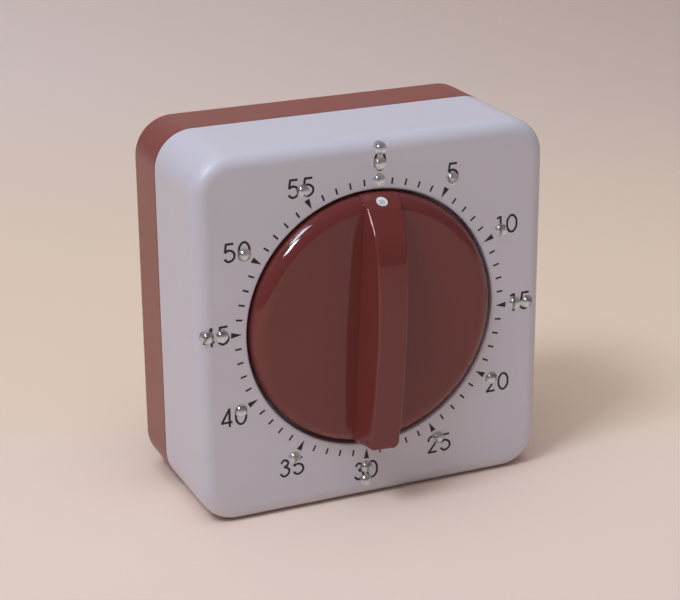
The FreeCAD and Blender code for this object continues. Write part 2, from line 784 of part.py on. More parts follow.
fine_pivots = [SECOND, THIRD, ESCAPE, PALLET]
add_plate("front_plate", "front_plate_depth", [
    ("arbor_radius + run_fit", [MAIN]),
    ("pivot_radius + run_fit", fine_pivots),
    ("rivet_radius + push_fit", list(PILLARS.values())),
    ("plate_screw_radius + screw_clearance", PLATE_SCREWS),
])
add_plate("rear_plate", "rear_plate_depth", [
    ("arbor_pivot_radius + run_fit", [MAIN]),
    ("pivot_radius + run_fit", fine_pivots),
    ("rivet_radius + push_fit", list(PILLARS.values())),
    ("rivet_radius + push_fit", [HAMMER]),
])
for label, (x, z) in PILLARS.items():
    add_turned(add_body(label, x, "0", z), [
        ("0", "front_plate_depth"), ("rivet_radius", "front_plate_depth"), ("rivet_radius", BACK),
        ("pillar_radius", BACK), ("pillar_radius", "rear_plate_depth"),
        ("rivet_radius", "rear_plate_depth"), ("rivet_radius", REAR_FACE), ("0", REAR_FACE),
    ])

# Main arbor: steel rod with a flat for the knob, a core for the mainspring and a seat for the wheels

core_start = "(%s + end_play)" % BACK
core_end = "(ratchet_depth - end_play)"
seat_end = "(rear_plate_depth - end_play)"
arbor = add_body("main_arbor", MAIN[0], "0", MAIN[1])
turn_with_dial(arbor)
add_turned(arbor, [
    ("0", "-arbor_front"), ("arbor_radius", "-arbor_front"), ("arbor_radius", core_start),
    ("spring_core_radius", core_start), ("spring_core_radius", core_end), ("wheel_seat_radius", core_end),
    ("wheel_seat_radius", seat_end), ("arbor_pivot_radius", seat_end),
    ("arbor_pivot_radius", "arbor_rear"), ("0", "arbor_rear"),
])
sketch = add_sketch(arbor, along="arbor_front")
draw_rectangle(sketch, "arbor_radius", "3 * arbor_radius", "arbor_flat + arbor_radius / 2")
add_pocket(arbor, sketch, "arbor_front + hub_depth")
washer = add_body("wheel_washer", MAIN[0], "great_wheel_depth + wheel_thickness + end_play", MAIN[1])
add_turned(washer, [
    ("wheel_seat_radius + push_fit", "0"), ("washer_radius", "0"),
    ("washer_radius", "washer_thickness"), ("wheel_seat_radius + push_fit", "washer_thickness"),
])

# Wheels and pinions, cut from flat outlines whose teeth follow from module and count


def polar(radius, bearing):
    angle = math.radians(bearing)
    return V(radius * math.cos(angle), 0, radius * math.sin(angle))


def tooth_ring(teeth, phase, profile):
    """Outline of equal teeth; the profile lists (radius, share of the pitch) across one tooth."""
    pitch = 360 / teeth
    steps = range(round(teeth))
    return [polar(radius, phase + pitch * (n + share)) for n in steps for radius, share in profile]


def wheel_outline(module, teeth, phase):
    """Wheel with rounded-off teeth, a little thinner than half the pitch."""
    middle = module * teeth / 2
    root, tip = middle - 0.95 * module, middle + 1.05 * module
    return tooth_ring(teeth, phase, [
        (root, -0.26), (middle, -0.22), (tip, -0.07), (tip, 0.07), (middle, 0.22), (root, 0.26),
    ])


def pinion_outline(module, teeth, phase):
    """Pinion with slim leaves and deep gaps, as small clock pinions have."""
    middle = module * teeth / 2
    root, tip = middle - 1.5 * module, middle + 0.7 * module
    return tooth_ring(teeth, phase, [
        (root, -0.14), (middle, -0.17), (tip, -0.06), (tip, 0.06), (middle, 0.17), (root, 0.14),
    ])


def add_cut(label, outline, thickness, place_at, depth, holes):
    """Flat piece stamped from an outline around its own axis, with holes (radius, x, z)."""
    blank = Part.Face(Part.makePolygon(outline + outline[:1])).extrude(V(0, size(thickness), 0))
    for radius, x, z in holes:
        hole = Part.makeCylinder(size(radius), size(thickness), V(size(x), 0, size(z)), V(0, 1, 0))
        blank = blank.cut(hole)
    piece = doc.addObject("Part::Feature", label)
    piece.Shape = blank
    place(piece, place_at[0], depth, place_at[1])
    parts.append(piece)
    return piece


def add_rod(label, place_at, radius):
    """Arbor between the plates: a thick middle with a thin pivot at each end."""
    start, end = "(%s + end_play)" % BACK, "(rear_plate_depth - end_play)"
    rod = add_body(label, place_at[0], "0", place_at[1])
    add_turned(rod, [
        ("0", "front_plate_depth"), ("pivot_radius", "front_plate_depth"), ("pivot_radius", start),
        (radius, start), (radius, end), ("pivot_radius", end), ("pivot_radius", REAR_FACE), ("0", REAR_FACE),
    ])
    return rod


def join(label, *pieces):
    """One piece made of several; it takes their place in the list of parts."""
    joined = doc.addObject("Part::MultiFuse", label)
    joined.Shapes = list(pieces)
    for piece in pieces:
        parts.remove(piece)
    parts.append(joined)


def add_pinion_arbor(name, place_at, radius, outline, start, end):
    leaves = add_cut(name + "_leaves", outline, "(%s) - (%s)" % (end, start), place_at, start, [])
    join(name + "_arbor", add_rod(name + "_rod", place_at, radius), leaves)


def meshed(bearing, teeth):
    """Phase of a pinion that puts a gap where the driving wheel has a tooth."""
    return size(bearing) + 180 + 180 / teeth


great, fine = size("great_module"), size("train_module")
leaves = size("pinion_teeth")
windows = []
for n in range(4):
    bearing = "(window_bearing + %d)" % (90 * n)
    window_x, window_z = "window_reach * cos(%s)" % bearing, "window_reach * sin(%s)" % bearing
    windows.append(("window_radius", window_x, window_z))
add_cut("main_wheel", wheel_outline(great, size("great_teeth"), size("second_bearing")), "wheel_thickness",
        MAIN, "great_wheel_depth", [
            ("wheel_seat_radius + run_fit", "0", "0"),
            ("click_pin_radius + run_fit", "click_pivot_x", "click_pivot_z"),
            ("click_spring_rivet + push_fit", "click_spring_x", "click_spring_z"),
        ] + windows)
second_leaves = size("second_pinion_teeth")
add_pinion_arbor("second", SECOND, "second_arbor_radius",
                 pinion_outline(great, second_leaves, meshed("second_bearing", second_leaves)),
                 "great_wheel_depth - pinion_margin", "great_wheel_depth + wheel_thickness + pinion_margin")
add_cut("second_wheel", wheel_outline(fine, size("second_teeth"), size("third_bearing")), "wheel_thickness",
        SECOND, "second_wheel_depth", [("second_arbor_radius + push_fit", "0", "0")])
add_pinion_arbor("third", THIRD, "thin_arbor_radius",
                 pinion_outline(fine, leaves, meshed("third_bearing", leaves)),
                 "second_wheel_depth - pinion_margin", "second_wheel_depth + wheel_thickness + pinion_margin")
add_cut("third_wheel", wheel_outline(fine, size("third_teeth"), size("escape_bearing")), "wheel_thickness",
        THIRD, "third_wheel_depth", [("thin_arbor_radius + push_fit", "0", "0")])
add_pinion_arbor("escape", ESCAPE, "thin_arbor_radius",
                 pinion_outline(fine, leaves, meshed("escape_bearing", leaves)),
                 "third_wheel_depth - pinion_margin", "third_wheel_depth + wheel_thickness + pinion_margin")
escape_tip = size("escape_radius")
escape_root = escape_tip - size("escape_tooth_depth")
escape_teeth = size("escape_teeth")
half_gap = 180 / escape_teeth
add_cut("escape_wheel", tooth_ring(escape_teeth, half_gap, [
    (escape_root, -0.2), (escape_tip, -0.04), (escape_tip, 0.04), (escape_root, 0.12),
]), "wheel_thickness", ESCAPE, "escape_wheel_depth", [("thin_arbor_radius + push_fit", "0", "0")])

# Escapement: forked lever with two pins that stop and free the escape wheel, and a plain balance bar


def add_strip(body, depth, thickness, start, end, width, bearing):
    """Straight strip along a bearing from the axis of its body."""
    corners = []
    for along, side in [(start, "-"), (end, "-"), (end, ""), (start, "")]:
        across = "%s(%s) / 2" % (side, width)
        x = "(%s) * cos(%s) - (%s) * sin(%s)" % (along, bearing, across, bearing)
        z = "(%s) * sin(%s) + (%s) * cos(%s)" % (along, bearing, across, bearing)
        corners.append((x, z))
    sketch = add_sketch(body, along="-(%s)" % depth)
    draw_outline(sketch, corners)
    add_pad(body, sketch, thickness)


lever_reach = "(%s * tan(pallet_angle))" % pin_reach
lever_depth = "(escape_wheel_depth - end_play - pallet_thickness)"
pin_end = "(escape_wheel_depth + wheel_thickness + end_play)"
lever = add_body("pallet_lever", PALLET[0], "0", PALLET[1])
discs_at(lever, "2 * thin_arbor_radius", "pallet_thickness", AXIS, lever_depth)
for side in ("", "-"):
    fork = "(%s(90 + pallet_angle))" % side
    pin_place = ("%s * cos(%s)" % (lever_reach, fork), "%s * sin(%s)" % (lever_reach, fork))
    add_strip(lever, lever_depth, "pallet_thickness", "0", lever_reach, "pallet_arm", fork)
    discs_at(lever, "pallet_arm / 2", "pallet_thickness", [pin_place], lever_depth)
    discs_at(lever, "pallet_pin_radius", "%s - %s" % (pin_end, lever_depth), [pin_place], lever_depth)
hole_at(lever, "thin_arbor_radius + push_fit", "pallet_thickness", AXIS, lever_depth)
add_rod("pallet_arbor", PALLET, "thin_arbor_radius")
balance = add_body("balance_bar", PALLET[0], "bar_depth", PALLET[1])
sketch = add_sketch(balance)
draw_rounded(sketch, "bar_width", "bar_length", "bar_corner")
add_pad(balance, sketch, "bar_thickness")
hole_at(balance, "thin_arbor_radius + push_fit", "bar_thickness", AXIS)

# Mainspring: steel strip wound outwards from the core, then led up and hooked over its pillar

half_gauge = size("mainspring_gauge") / 2
half_pitch = size("mainspring_pitch") / 2
coil_start = size("spring_core_radius + run_fit") + half_gauge
arcs = []
for n in range(2 * round(size("mainspring_turns"))):
    arcs.append((half_pitch * (n % 2), coil_start + n * half_pitch, 180 * (n % 2), 180 * (n % 2) + 180))
rise = size("mainspring_rise")
hook = size("pillar_radius + push_fit") + half_gauge
hook_middle = size(spring_end) + hook


def strip_side(offset):
    """Edges of one side of the strip, from the core out to the end of the hook."""
    edges = []
    for middle, radius, start, end in arcs:
        bearings = (start, (start + end) / 2, end)
        points = [V(middle, 0, 0) + polar(radius + offset, bearing) for bearing in bearings]
        edges.append(Part.Arc(*points).toShape())
    foot = V(size(spring_end) + offset, 0, 0)
    edges.append(Part.makeLine(foot, foot + V(0, 0, rise)))
    points = [V(hook_middle, 0, rise) + polar(hook - offset, angle) for angle in (180, 90, 0)]
    edges.append(Part.Arc(*points).toShape())
    return edges


outer, inner_side = strip_side(half_gauge), strip_side(-half_gauge)
caps = []
for end in (0, -1):
    vertex = 0 if end == 0 else -1
    caps.append(Part.makeLine(outer[end].Vertexes[vertex].Point, inner_side[end].Vertexes[vertex].Point))
ribbon = Part.Face(Part.Wire(Part.__sortEdges__(outer + inner_side + caps)))
spring = doc.addObject("Part::Feature", "mainspring")
spring.Shape = ribbon.extrude(V(0, size("mainspring_width"), 0))
place(spring, MAIN[0], "mainspring_depth", MAIN[1])
parts.append(spring)

# Ratchet and click: saw teeth on the arbor drive the main wheel one way through a sprung click

ratchet_tip = size("ratchet_radius")
ratchet_root = ratchet_tip - size("ratchet_tooth")
add_cut("ratchet_wheel", tooth_ring(size("ratchet_teeth"), size("click_bearing"), [
    (ratchet_tip, 0), (ratchet_root, 0.001),
]), "ratchet_thickness", MAIN, "ratchet_depth", [("wheel_seat_radius + push_fit", "0", "0")])
click = add_body("click", "dial_x + click_pivot_x", "0", "dial_z + click_pivot_z")
sketch = add_sketch(click, along="-ratchet_depth")
tooth_pitch = "360 / ratchet_teeth"
low = "(ratchet_radius - ratchet_tooth + click_gap)"
high = "(ratchet_radius + click_gap)"
face_bearing = "(click_bearing + click_gap * 9)"
far_bearing = "(click_bearing + %s - click_gap * 3)" % tooth_pitch
outline = []
for corner in [(low, face_bearing), ("(%s + click_nose)" % low, face_bearing), (high, far_bearing)]:
    outline.append(("%s * cos(%s) - click_pivot_x" % corner, "%s * sin(%s) - click_pivot_z" % corner))
boss_side = ("click_boss_radius * cos(click_boss_bearing)", "click_boss_radius * sin(click_boss_bearing)")
outline.insert(2, boss_side)
outline.insert(3, ("-" + boss_side[0], "-" + boss_side[1]))
draw_outline(sketch, outline)
add_pad(click, sketch, "ratchet_thickness")
discs_at(click, "click_boss_radius", "ratchet_thickness", AXIS, "ratchet_depth")
discs_at(click, "click_pin_radius", "great_wheel_depth + wheel_thickness + end_play - ratchet_depth",
         AXIS, "ratchet_depth")
click_spring = add_body("click_spring", "dial_x + click_spring_x", "0", "dial_z + click_spring_z")
discs_at(click_spring, "click_spring_foot", "great_wheel_depth - ratchet_depth", AXIS, "ratchet_depth")
discs_at(click_spring, "click_spring_rivet", "great_wheel_depth + wheel_thickness - ratchet_depth",
         AXIS, "ratchet_depth")
add_strip(click_spring, "ratchet_depth", "ratchet_thickness", "0", "click_spring_length", "leaf_gauge",
          "click_spring_bearing")

# Strike: a notched cam on the arbor lets the sprung hammer fall on the bell as the time runs out

cam = add_body("strike_cam", MAIN[0], "0", MAIN[1])
discs_at(cam, "cam_radius", "cam_thickness", AXIS, "cam_depth")
sketch = add_sketch(cam, along="-cam_depth")
draw_outline(sketch, [
    ("cam_notch_ahead", "cam_radius - cam_notch_depth"),
    ("cam_notch_ahead + leaf_gauge", "cam_radius + leaf_gauge"),
    ("-(cam_notch_behind + cam_ramp)", "cam_radius + leaf_gauge"),
    ("-cam_notch_behind", "cam_radius - cam_notch_depth"),
])
add_pocket(cam, sketch, "cam_thickness")
hole_at(cam, "arbor_pivot_radius + push_fit", "cam_thickness", AXIS, "cam_depth")
stud = add_body("hammer_stud", "hammer_x", "0", "hammer_z")
stud_end = "(cam_depth + hammer_arm_thickness + end_play)"
add_turned(stud, [
    ("0", "rear_plate_depth"), ("rivet_radius", "rear_plate_depth"), ("rivet_radius", REAR_FACE),
    ("hammer_stud_radius", REAR_FACE), ("hammer_stud_radius", stud_end), ("hammer_stud_head", stud_end),
    ("hammer_stud_head", stud_end + " + leaf_gauge"), ("0", stud_end + " + leaf_gauge"),
])
arm = add_body("hammer_arm", "hammer_x", "cam_depth", "hammer_z")
discs_at(arm, "hammer_boss_radius", "hammer_arm_thickness", AXIS, "0")
add_strip(arm, "0", "hammer_arm_thickness", "0", "hammer_reach", "hammer_arm_width", "0")
discs_at(arm, "hammer_arm_width / 2 + leaf_gauge", "hammer_arm_thickness", [("hammer_reach", "0")], "0")
follower_x = "(dial_x - hammer_x)"
follower_z = "(dial_z + cam_radius + follower_radius + run_fit - hammer_z)"
sketch = add_sketch(arm)
draw_rectangle(sketch, "follower_width", "-" + follower_z, follower_x, follower_z + " / 2")
add_pad(arm, sketch, "hammer_arm_thickness")
discs_at(arm, "follower_radius", "hammer_arm_thickness", [(follower_x, follower_z)], "0")
hole_at(arm, "hammer_stud_radius + run_fit", "hammer_arm_thickness", AXIS, "0")
hole_at(arm, "hammer_stem_radius + push_fit", "hammer_arm_thickness", [("hammer_reach", "0")], "0")
head = add_body("hammer_head", "hammer_x + hammer_reach", "cam_depth", "hammer_z")
add_turned(head, [
    ("0", "0"), ("hammer_stem_radius", "0"), ("hammer_stem_radius", "hammer_arm_thickness"),
    ("hammer_head_radius", "hammer_arm_thickness"),
    ("hammer_head_radius", "hammer_arm_thickness + hammer_head_length"),
    ("0", "hammer_arm_thickness + hammer_head_length"),
])
leaf = add_body("hammer_spring", "0", "0", "0")
leaf_z = "(hammer_z + hammer_arm_width / 2 + leaf_gap)"
foot_right, foot_top = "(leaf_foot_x + leaf_foot_width)", "(leaf_foot_z + leaf_foot_height)"
sketch = add_sketch(leaf, along="-" + REAR_FACE)
draw_outline(sketch, [
    ("leaf_foot_x", "leaf_foot_z"), (foot_right, "leaf_foot_z"), (foot_right, foot_top),
    ("leaf_foot_x", foot_top),
])
add_pad(leaf, sketch, "cam_depth + hammer_arm_thickness - " + REAR_FACE)
sketch = add_sketch(leaf, along="-cam_depth")
draw_outline(sketch, [
    (foot_right + " - leaf_gauge", "leaf_foot_z"),
    ("leaf_end_x", leaf_z),
    ("leaf_end_x", leaf_z + " + leaf_gauge"),
    (foot_right + " - leaf_gauge", "leaf_foot_z + leaf_gauge"),
])
add_pad(leaf, sketch, "hammer_arm_thickness")

# Bell: drawn steel cup screwed to its seat in the rear housing

bell = add_body("bell", MAIN[0], "0", MAIN[1])
bore = "(bell_screw_radius + screw_clearance)"
crown_inside = "(%s - bell_gauge)" % bell_back
cup = add_turned(bell, [
    (bore, bell_back), (bore, crown_inside), ("bell_radius - bell_gauge", crown_inside),
    ("bell_radius - bell_gauge", "bell_mouth_depth"), ("bell_radius", "bell_mouth_depth"),
    ("bell_radius", bell_back),
])


def wide_at(depth):
    """Test for the large circle at one depth."""
    flat = lies_at(depth)

    def chosen(edge):
        return flat(edge) and edge.BoundBox.XLength > size("bell_radius")
    return chosen


dome = "min(bell_round; %s - bell_mouth_depth - bell_gauge)" % bell_back
cup = add_fillet(bell, cup, dome, wide_at(bell_back))
add_fillet(bell, cup, dome + " - bell_gauge", wide_at(crown_inside))
bell_screw = add_body("bell_screw", MAIN[0], "0", MAIN[1])
bell_head = "(%s - bell_screw_head)" % crown_inside
add_turned(bell_screw, [
    ("0", bell_head), ("bell_screw_head_radius", bell_head), ("bell_screw_head_radius", crown_inside),
    ("bell_screw_radius", crown_inside), ("bell_screw_radius", bell_back + " + bell_screw_length"),
    ("0", bell_back + " + bell_screw_length"),
])
sketch = add_sketch(bell_screw, along="-" + bell_head)
draw_rectangle(sketch, "3 * bell_screw_head_radius", "drive_slot")
add_pocket(bell_screw, sketch, "drive_depth")

# Every piece is checked before it is written

doc.recompute()
for item in doc.Objects:
    if "Invalid" in item.State or "Error" in item.State:
        raise ValueError(item.Label + " was not built")
os.makedirs("parts", exist_ok=True)
for part in parts:
    if part.Shape.isNull() or not part.Shape.isValid():
        raise ValueError(part.Label + " has no sound shape")
    part.Shape.exportStep("parts/" + part.Label + ".step")
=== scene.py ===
import bpy
import json
import math
from mathutils import Matrix, Vector


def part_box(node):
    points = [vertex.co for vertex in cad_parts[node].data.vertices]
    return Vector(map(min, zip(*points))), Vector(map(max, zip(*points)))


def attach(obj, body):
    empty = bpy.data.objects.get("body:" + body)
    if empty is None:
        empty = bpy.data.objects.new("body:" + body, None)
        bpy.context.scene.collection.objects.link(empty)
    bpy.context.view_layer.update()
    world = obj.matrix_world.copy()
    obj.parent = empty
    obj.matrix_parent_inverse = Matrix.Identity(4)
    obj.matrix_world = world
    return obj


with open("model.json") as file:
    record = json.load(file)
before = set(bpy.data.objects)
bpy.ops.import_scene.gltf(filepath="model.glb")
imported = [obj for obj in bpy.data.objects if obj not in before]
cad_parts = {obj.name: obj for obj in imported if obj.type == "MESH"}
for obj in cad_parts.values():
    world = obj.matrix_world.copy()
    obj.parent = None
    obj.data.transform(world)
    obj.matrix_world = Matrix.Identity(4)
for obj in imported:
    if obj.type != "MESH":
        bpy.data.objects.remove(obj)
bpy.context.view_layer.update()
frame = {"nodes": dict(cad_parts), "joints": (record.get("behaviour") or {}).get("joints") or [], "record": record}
bpy.ops.object.select_all(action="DESELECT")

# The front cover is one injection moulding in white ABS. The etched mould leaves a fine satin
# skin on it, so its round edges take the light softly and mirror nothing.
mm = 0.001


def srgb(code):
    """Linear colour of a hex code as it is seen on a screen."""
    levels = [int(code[n:n + 2], 16) / 255 for n in (0, 2, 4)]
    return [c / 12.92 if c <= 0.04045 else ((c + 0.055) / 1.055) ** 2.4 for c in levels] + [1.0]


def add_node(material, kind, values=None, links=None, **settings):
    """One node with its settings, socket values and incoming links."""
    node = material.node_tree.nodes.new(kind)
    for name, value in settings.items():
        setattr(node, name, value)
    for socket, value in (values or {}).items():
        node.inputs[socket].default_value = value
    for socket, source in (links or {}).items():
        material.node_tree.links.new(source, node.inputs[socket])
    return node


def new_material(name, **values):
    """A material with one shader; the values go straight on the shader's own sockets."""
    material = bpy.data.materials.new(name)
    material.use_nodes = True
    shader = material.node_tree.nodes["Principled BSDF"]
    for socket, value in values.items():
        shader.inputs[socket.replace("_", " ")].default_value = value
    return material, shader


def dress(node, material):
    """Puts a material on every slot of a node of the frame."""
    for slot in frame["nodes"][node].material_slots:
        slot.material = material


def moulded_plastic(name, colour, pale, grain_mm, relief_mm, **values):
    """Moulded plastic: a slow drift of colour, an even skin of fine grain, small changes of gloss."""
    drift_mm, smoothest, roughest = 18, 0.85, 1.2
    material, shader = new_material(name, **values)
    place = add_node(material, "ShaderNodeTexCoord")
    cloud = add_node(material, "ShaderNodeTexNoise", {"Scale": 1 / (drift_mm * mm), "Detail": 3.0},
                     {"Vector": place.outputs["Object"]})
    tint = add_node(material, "ShaderNodeMix", {"A": srgb(colour), "B": srgb(pale)},
                    {"Factor": cloud.outputs["Fac"]}, data_type="RGBA")
    grain = add_node(material, "ShaderNodeTexNoise", {"Scale": 1 / (grain_mm * mm), "Detail": 4.0},
                     {"Vector": place.outputs["Object"]})
    skin = add_node(material, "ShaderNodeBump", {"Strength": 1.0, "Distance": relief_mm * mm},
                    {"Height": grain.outputs["Fac"]})
    rough = values["Roughness"]
    gloss = add_node(material, "ShaderNodeMapRange",
                     {"To Min": rough * smoothest, "To Max": rough * roughest},
                     {"Value": cloud.outputs["Fac"]})
    material.node_tree.links.new(tint.outputs["Result"], shader.inputs["Base Color"])
    material.node_tree.links.new(gloss.outputs["Result"], shader.inputs["Roughness"])
    material.node_tree.links.new(skin.outputs["Normal"], shader.inputs["Normal"])
    return material


white_abs = moulded_plastic("white_abs_satin", "dcd8e0", "e0dce5", 0.5, 0.006, Roughness=0.38, IOR=1.5)
dress("front_cover", white_abs)

# The dial is pad printed on the cover in black ink, a thin dull film: a stroke for each minute
# round the knob, a slim triangle at each fifth, and upright numerals drawn with one even line.
# The print sits turned a little clockwise. The mark at zero is left out, under its touch dot.
knob_axis = [joint["pos_m"] for joint in frame["joints"] if joint["name"] == "knob_turn"][0]
print_left, print_below = 0.05, 0.2
print_x, print_z = knob_axis[0] / mm - print_left, knob_axis[2] / mm - print_below
print_turn = 2.7
face_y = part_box("front_cover")[0].y / mm
tick_width, line_width, ink_height = 0.37, 0.45, 0.02
black_ink = moulded_plastic("black_pad_print", "17151a", "211e24", 0.3, 0.002, Roughness=0.45, IOR=1.5)


def inked_lines(strokes, width):
    """Flat film of ink along each stroke, drawn upright round the print's centre, in millimetres."""
    bpy.ops.object.select_all(action="DESELECT")
    bpy.ops.curve.primitive_bezier_curve_add()
    curve = bpy.context.object.data
    curve.splines.clear()
    for corners, points in strokes:
        spline = curve.splines.new("BEZIER")
        spline.use_cyclic_u = points[0] == points[-1]
        knots = points[1:] if spline.use_cyclic_u else points
        spline.bezier_points.add(len(knots) - 1)
        for knot, (across, up) in zip(spline.bezier_points, knots):
            knot.co = (across, up, 0)
            knot.handle_left_type = knot.handle_right_type = "VECTOR" if corners else "AUTO"
        spline.resolution_u = 1 if corners else 8
    curve.bevel_depth = width / 2
    curve.bevel_resolution = 2
    curve.use_fill_caps = True
    bpy.ops.object.convert(target="MESH")
    film = bpy.context.object
    flattened = Matrix.Diagonal((1, 1, 2 * ink_height / width, 1))
    film.data.transform(Matrix.Rotation(math.radians(90), 4, "X") @ flattened)
    return film


def put_on_face(film, x, z, turn=0):
    """Sets a film of ink on the cover, its own origin at x, z from the print's centre."""
    place = Matrix.Translation(Vector((print_x + x, face_y, print_z + z)) * mm)
    film.data.transform(place @ Matrix.Rotation(turn, 4, "Y") @ Matrix.Scale(mm, 4))
    return film


def another(film):
    """A copy with a mesh of its own."""
    bpy.ops.object.select_all(action="DESELECT")
    film.select_set(True)
    bpy.context.view_layer.objects.active = film
    bpy.ops.object.duplicate()
    return bpy.context.object


def one_piece(parts, name, material):
    """Parts joined, smoothed, given their material, and riding on the case."""
    bpy.ops.object.select_all(action="DESELECT")
    for part in parts:
        part.select_set(True)
    bpy.context.view_layer.objects.active = parts[0]
    bpy.ops.object.join()
    piece = bpy.context.object
    piece.name = name
    bpy.ops.object.mode_set(mode="EDIT")
    bpy.ops.mesh.select_all(action="SELECT")
    bpy.ops.mesh.normals_make_consistent(inside=False)
    bpy.ops.object.mode_set(mode="OBJECT")
    bpy.ops.object.shade_smooth_by_angle(angle=math.radians(50))
    piece.data.materials.clear()
    piece.data.materials.append(material)
    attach(piece, "case")
    piece.select_set(False)


bend, straight = False, True
ring_middle, tick_length = 26.73, 1.25
tick_ends = [(0, ring_middle - tick_length / 2), (0, ring_middle + tick_length / 2)]
tick = inked_lines([(straight, tick_ends)], tick_width)
fifth_shift, fifth_spread, fifth_reach = 0.62, 0.64, 1.42
bpy.ops.mesh.primitive_cylinder_add(vertices=3, radius=1, depth=2 * ink_height)
fifth = bpy.context.object
fifth.data.transform(
    Matrix.Translation((0, 0, ring_middle + fifth_shift))
    @ Matrix.Diagonal((fifth_spread, 1, fifth_reach, 1))
    @ Matrix.Rotation(math.radians(-90), 4, "X"))
minute_marks = []
for minute in range(1, 60):
    mark = another(tick if minute % 5 else fifth)
    minute_marks.append(put_on_face(mark, 0, 0, math.radians(6 * minute + print_turn)))
for pattern in (tick, fifth):
    bpy.data.objects.remove(pattern)
one_piece(minute_marks, "printed_minute_ring", black_ink)

digit_height = 3.3
digit_lines = {
    "0": [(bend, [(0, 1.65), (0.25, 2.75), (1.0, 3.3), (1.75, 2.75), (2.0, 1.65), (1.75, 0.55), (1.0, 0),
                  (0.25, 0.55), (0, 1.65)])],
    "1": [(straight, [(0.8, 3.42), (0.8, -0.2)]), (straight, [(0, 2.98), (0.8, 3.28)])],
    "2": [(bend, [(0.02, 2.3), (0.3, 3.05), (0.93, 3.3), (1.6, 3.0), (1.8, 2.42), (1.5, 1.75)]),
          (straight, [(1.52, 1.79), (0.02, -0.15)]), (straight, [(0.0, 0), (1.85, 0)])],
    "3": [(bend, [(0.22, 2.75), (0.92, 3.3), (1.66, 2.58), (0.85, 1.85)]),
          (bend, [(0.85, 1.85), (1.55, 1.6), (1.86, 0.95), (0.9, 0), (0.02, 0.62)])],
    "4": [(straight, [(1.55, 3.5), (1.55, -0.2)]), (straight, [(1.6, 3.45), (0.0, 0.66)]),
          (straight, [(-0.1, 0.72), (2.1, 0.72)])],
    "5": [(straight, [(0.28, 3.3), (1.85, 3.3)]), (straight, [(0.42, 3.4), (0.18, 1.7)]),
          (bend, [(0.2, 1.78), (0.98, 2.12), (2.0, 1.06), (0.95, 0), (0.02, 0.55)])],
}
digit_step = {"0": 2.9, "1": 2.2, "2": 2.65, "3": 2.7, "4": 2.8, "5": 2.85}
numeral_places = {
    0: (1.57, 30.42), 5: (16.4, 26.5), 10: (27.97, 14.85), 15: (31.2, -1.12),
    20: (26.58, -17.15), 25: (14.13, -27.76), 30: (-1.4, -30.47), 35: (-16.63, -26.87),
    40: (-27.9, -14.6), 45: (-30.9, 1.6), 50: (-26.44, 17.07), 55: (-13.95, 27.33),
}
numerals = []
for minute, (x, z) in numeral_places.items():
    strokes, shift = [], 0
    for digit in str(minute):
        for corners, points in digit_lines[digit]:
            strokes.append((corners, [(across + shift, up) for across, up in points]))
        shift += digit_step[digit]
    numeral = inked_lines(strokes, line_width)
    across = [vertex.co.x for vertex in numeral.data.vertices]
    numerals.append(put_on_face(numeral, x - (min(across) + max(across)) / 2, z - digit_height / 2))
one_piece(numerals, "printed_numerals", black_ink)

# The touch dots are clear cast resin domes set in the cover over the print. They work as small
# lenses: one sharp highlight; the upper half painted darker, a painted shade; the rim painted dark,
# a painted shade; and the light from overhead gathered in the lower half, partly by the resin's
# translucence and partly as painted light under it. The face with its print runs on under each
# dome, bonded to the resin and coloured whiter than the cover, a painted light.
clear_resin, resin_shader = new_material(
    "clear_cast_resin", IOR=1.5, Roughness=0.05, Transmission_Weight=1.0,
    Coat_Weight=1.0, Coat_IOR=3.0, Coat_Roughness=0.04)
cloud_mm = 0.9
dusk_from, dusk_to = -0.05, 0.3
rim_from, rim_to = 0.62, 0.9
glow_share = 0.3
resin_place = add_node(clear_resin, "ShaderNodeTexCoord")
resin_cloud = add_node(clear_resin, "ShaderNodeTexNoise", {"Scale": 1 / (cloud_mm * mm), "Detail": 2.0},
                       {"Vector": resin_place.outputs["Object"]})
resin_body_tint = add_node(clear_resin, "ShaderNodeMix", {"A": srgb("f7f7f4"), "B": srgb("ffffff")},
                           {"Factor": resin_cloud.outputs["Fac"]}, data_type="RGBA")
# Painted shade: where a dome's surface faces upwards its colour is mixed towards dark grey.
resin_upward = add_node(clear_resin, "ShaderNodeSeparateXYZ",
                        links={"Vector": resin_place.outputs["Normal"]})
resin_shade_above = add_node(clear_resin, "ShaderNodeMapRange", {"From Min": dusk_from, "From Max": dusk_to},
                      {"Value": resin_upward.outputs["Z"]})
resin_painted_shade = add_node(clear_resin, "ShaderNodeMix", {"B": srgb("4c5051")}, {
    "Factor": resin_shade_above.outputs["Result"], "A": resin_body_tint.outputs["Result"]}, data_type="RGBA")
# Painted shade: where a dome is seen edge on, its colour is mixed towards dark grey.
resin_edge = add_node(clear_resin, "ShaderNodeLayerWeight", {"Blend": 0.5})
resin_rim_shade = add_node(clear_resin, "ShaderNodeMapRange", {"From Min": rim_from, "From Max": rim_to},
                     {"Value": resin_edge.outputs["Facing"]})
resin_colour = add_node(clear_resin, "ShaderNodeMix", {"B": srgb("4a4c4e")}, {
    "Factor": resin_rim_shade.outputs["Result"], "A": resin_painted_shade.outputs["Result"]}, data_type="RGBA")
clear_resin.node_tree.links.new(resin_colour.outputs["Result"], resin_shader.inputs["Base Color"])
resin_glow = add_node(clear_resin, "ShaderNodeBsdfTranslucent", {"Color": srgb("f4f2ec")})
resin_body = add_node(clear_resin, "ShaderNodeMixShader", {0: glow_share}, {
    1: resin_shader.outputs["BSDF"], 2: resin_glow.outputs["BSDF"]})
resin_pass = add_node(clear_resin, "ShaderNodeBsdfTransparent", {"Color": srgb("fbfbf9")})
resin_ray = add_node(clear_resin, "ShaderNodeLightPath")
